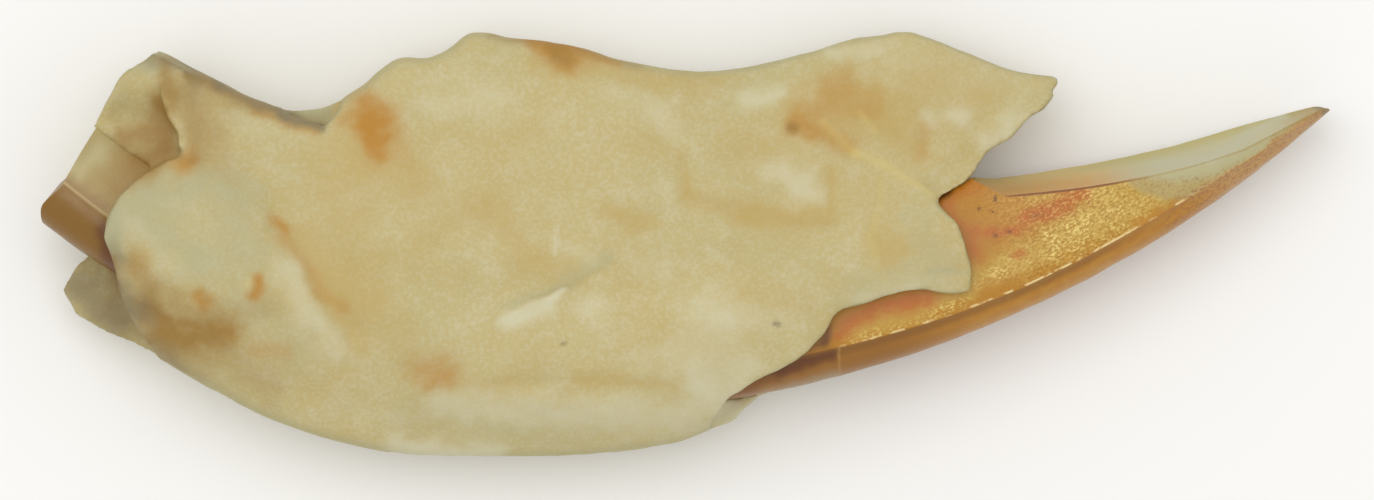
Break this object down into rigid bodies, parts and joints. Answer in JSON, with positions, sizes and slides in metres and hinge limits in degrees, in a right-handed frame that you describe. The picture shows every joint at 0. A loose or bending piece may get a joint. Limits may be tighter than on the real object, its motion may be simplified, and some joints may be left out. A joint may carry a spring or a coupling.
{
  "type": "fossil rodent incisor in lower jaw fragment",
  "caption": "Broken piece of a rodent's lower jaw with its long curved incisor in the socket; the worn, wedge-shaped tip stands out in front. Lies on its inner side.",
  "frame": {"origin": "under the middle of the object's box, on the surface that the inner side of the jaw lies on", "axes": "+X along the jaw from the root to the tip of the tooth, +Y from the jaw's lower edge to its upper edge, +Z from the inner side to the outer side, up when it lies down"},
  "size_m": [0.0647, 0.0212, 0.0092],
  "materials": {
    "fossil_bone": "matte",
    "tooth_enamel": "satin"
  },
  "bodies": {
    "root": {"jaw_bone": "fossil_bone", "incisor": "tooth_enamel"}
  },
  "joints": []
}
